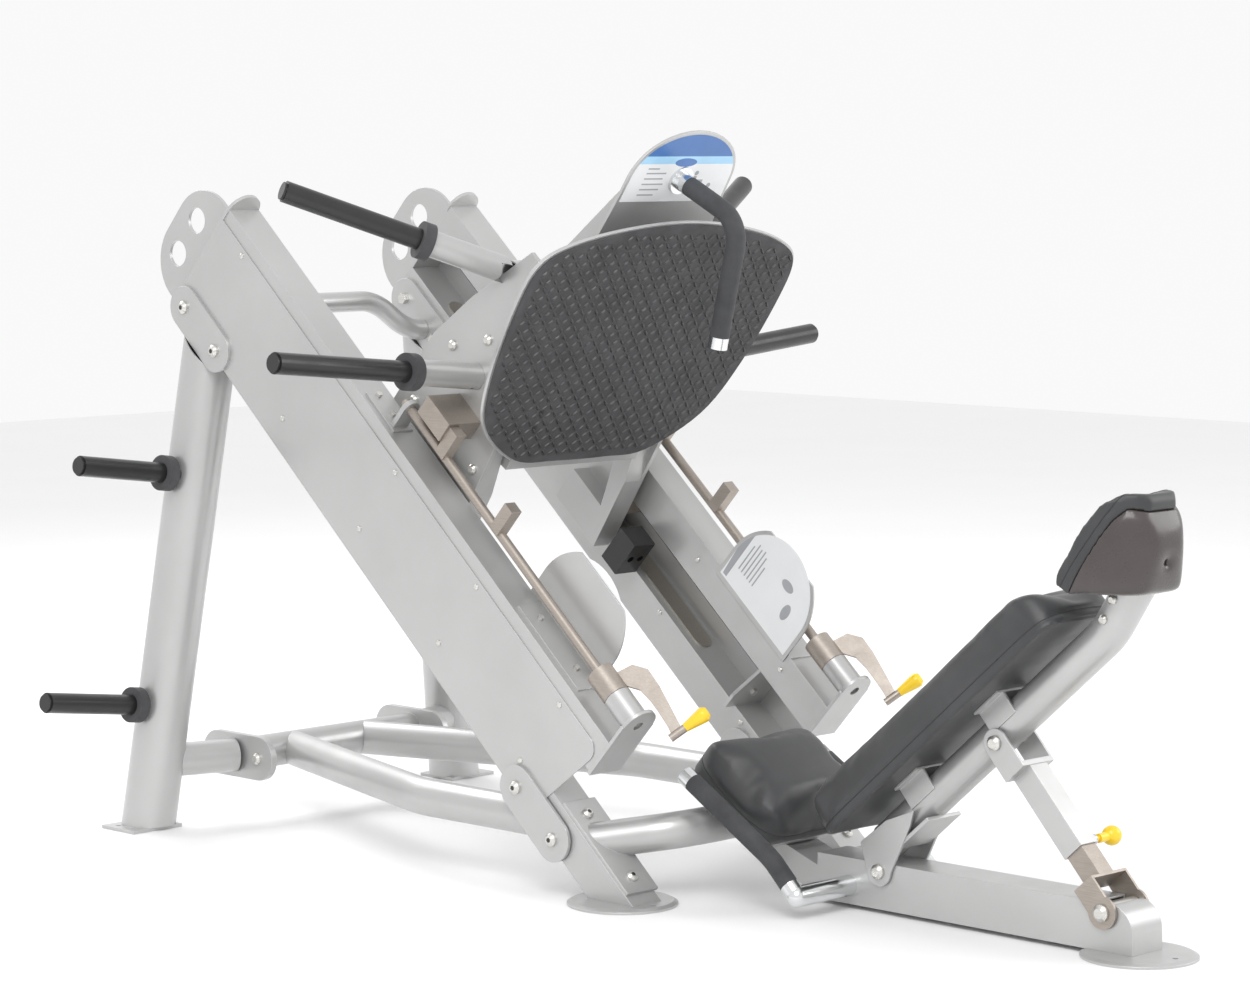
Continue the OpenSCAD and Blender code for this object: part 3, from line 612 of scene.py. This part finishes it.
def oval(x, y, rx, ry, n=32):
    step = 2 * math.pi / n
    return [(x + rx * math.cos(t * step), y + ry * math.sin(t * step)) for t in range(n)]


def add_print(name, parts, look, body):
    """One printed film or layer of ink, on a powder coated plate."""
    new_piece(name, gather(name, parts), look, body)


def add_sign_print():
    """Plain colour fields and grey bars on the half-round panel."""
    face = -0.083
    m = PLATE @ Matrix.Translation((0, 0.362, face))
    outline = [(0.157 * math.cos(math.radians(t)), 0.112 * math.sin(math.radians(t)))
               for t in range(0, 181, 5)]
    outline += [(-0.160, -0.062), (0.160, -0.062)]
    sky = clip(clip(outline, lambda p: p[1] - 0.036), lambda p: 0.056 - p[1])
    top = clip(outline, lambda p: p[1] - 0.056)
    white = clip(outline, lambda p: 0.036 - p[1])
    spot = prism(m, oval(-0.005, 0.040, 0.034, 0.011), *INK)
    add_print("sign_white", [prism(m, white, *FILM)], "label", "sled")
    add_print("sign_blue", [prism(m, top, *FILM), spot], "label_blue", "sled")
    add_print("sign_sky", [prism(m, sky, *FILM)], "label_sky", "sled")
    rows = ((0.022, 0.035), (0.010, 0.062), (-0.004, 0.058),
            (-0.018, 0.066), (-0.032, 0.060), (-0.046, 0.050))
    bars = [bar_shape(-0.115, y, w, 0.0035) for y, w in rows]
    bars += [oval(0.045, 0.012, 0.006, 0.006),
             bar_shape(0.040, -0.016, 0.010, 0.020),
             bar_shape(0.052, -0.012, 0.022, 0.007),
             oval(0.100, -0.020, 0.006, 0.006),
             bar_shape(0.095, -0.048, 0.010, 0.020),
             bar_shape(0.070, -0.044, 0.024, 0.007)]
    add_print("sign_bars", [prism(m, b, *INK) for b in bars], "label_grey", "sled")


def tower_side(x, facing):
    """Frame on a tower's flank: x runs up the slope, y square to it, z out of the flank."""
    cols = [SLOPE.to_3x3() @ Vector(v) for v in ((0, 1, 0), (0, 0, 1), (facing, 0, 0))]
    return Matrix.Translation(SLOPE @ Vector((x, 0, 0))) @ Matrix(cols).transposed().to_4x4()


def add_socket_shade():
    """Painted shade: dark hexagons on the heads of the frame's button screws, standing for their
    shaded hex sockets.
    """
    parts = []
    for side in (-1, 1):
        flank = tower_side(side * 0.418, side)
        parts += [prism(flank, round_shape(a, 0.242, 0.0058, 6), *SOCKET_SHADE)
                  for a in (-0.081, 0.069, 1.433, 1.581)]
        foot = SLOPE @ Matrix.Translation((side * 0.352, 0, 0.330))
        parts += [prism(foot, round_shape(0, a, 0.0052, 6), *SOCKET_SHADE) for a in (-0.262, -0.084)]
    new_piece("bolt_socket_shade", gather("bolt_socket_shade", parts), "sleeve", "frame")


def add_tower_prints():
    """White half-oval plates on both towers, with plain grey bars."""
    for side, name in ((-1, "left"), (1, "right")):
        m = tower_side(side * 0.304, -side)
        arc = [(0.250 + 0.131 * math.cos(math.radians(t)), 0.585 + 0.131 * math.sin(math.radians(t)))
               for t in range(2, 179, 6)]
        outline = [(0.119, 0.512), (0.381, 0.512)] + arc
        lengths = (0.075, 0.09, 0.085, 0.09, 0.08, 0.06)
        bars = [bar_shape(0.345 - 0.011 * k, 0.560, 0.0035, w) for k, w in enumerate(lengths)]
        bars += [oval(0.215, 0.640, 0.020, 0.012), oval(0.180, 0.590, 0.012, 0.022)]
        add_print(name + "_label", [prism(m, outline, *FILM)], "label", "frame")
        head = clip([(0.125, 0.518), (0.375, 0.518)] + arc, lambda p: p[0] - 0.362)
        layers = [prism(m, b, *INK) for b in bars + [head]]
        add_print(name + "_label_bars", layers, "label_grey", "frame")


SHELL_TREE = tree_of("head_shell")


def near_shell(co):
    """1 where the head cushion lies on its shell, and is held."""
    hit = SHELL_TREE.find_nearest(co, 0.2)
    return 1.0 if hit[0] is not None and hit[3] < 0.008 else 0.0


moulded_shell()
pad("seat_cushion", "seat_pad", SEAT, -0.0448, 0.004, 0.018, 6.0, -0.006, "frame", crown=0.016)
pad("back_cushion", "back_pad", BACK, 0.0552, 0.004, 0.014, 5.0, 0.076, "backrest", crown=0.008)
pad("head_cushion", "head_pad", HEAD, 0.0, 0.001, 0.010, 4.0, 0.028, "backrest", crown=0.004, evened=3,
    held=near_shell, voxel=0.0045)
add_tread()
add_sign_print()
add_tower_prints()
add_socket_shade()


# ---------------------------------------------------------------- stage
def add_stage():
    mesh = bpy.data.meshes.new("floor")
    size = 12
    corners = [(-size, -size, 0), (size, -size, 0), (size, size, 0), (-size, size, 0)]
    mesh.from_pydata(corners, [], [(0, 1, 2, 3)])
    floor = bpy.data.objects.new("floor", mesh)
    bpy.context.scene.collection.objects.link(floor)
    mat, nt, bsdf = material("floor_pale", (0.90, 0.90, 0.90), 0.6)
    tint(nt, bsdf, noise(nt, 1.5, 3), (0.89, 0.89, 0.89), (0.92, 0.92, 0.92))
    mesh.materials.append(mat)


def add_light(name, place, target, size, watts):
    data = bpy.data.lights.new(name, "AREA")
    data.shape = "RECTANGLE"
    data.size, data.size_y = size
    data.energy = watts
    obj = bpy.data.objects.new(name, data)
    obj.location = place
    obj.rotation_euler = (Vector(target) - Vector(place)).to_track_quat("-Z", "Y").to_euler()
    bpy.context.scene.collection.objects.link(obj)


def add_lights():
    world = bpy.data.worlds.new("studio")
    world.use_nodes = True
    world.node_tree.nodes["Background"].inputs["Color"].default_value = (1, 1, 1, 1)
    world.node_tree.nodes["Background"].inputs["Strength"].default_value = 0.95
    bpy.context.scene.world = world
    add_light("key", (-4.0, -3.2, 5.2), (0, 0, 0.7), (3.5, 3.5), 210)
    add_light("fill", (4.5, -4.0, 3.2), (0, 0, 0.6), (4.0, 3.0), 95)
    add_light("rim", (0.5, 5.0, 4.5), (0, 0, 0.9), (4.0, 2.0), 150)


def add_camera():
    data = bpy.data.cameras.new("camera")
    data.sensor_width = 36
    data.lens = 106.5
    cam = bpy.data.objects.new("camera", data)
    cam.location = at(-5.947, -5.838, 1.626)
    cam.rotation_euler = (math.radians(90 - 5.5), 0, math.radians(-45.76))
    bpy.context.scene.collection.objects.link(cam)
    bpy.context.scene.camera = cam
    bpy.context.scene.view_settings.view_transform = "Standard"


add_stage()
add_lights()
add_camera()
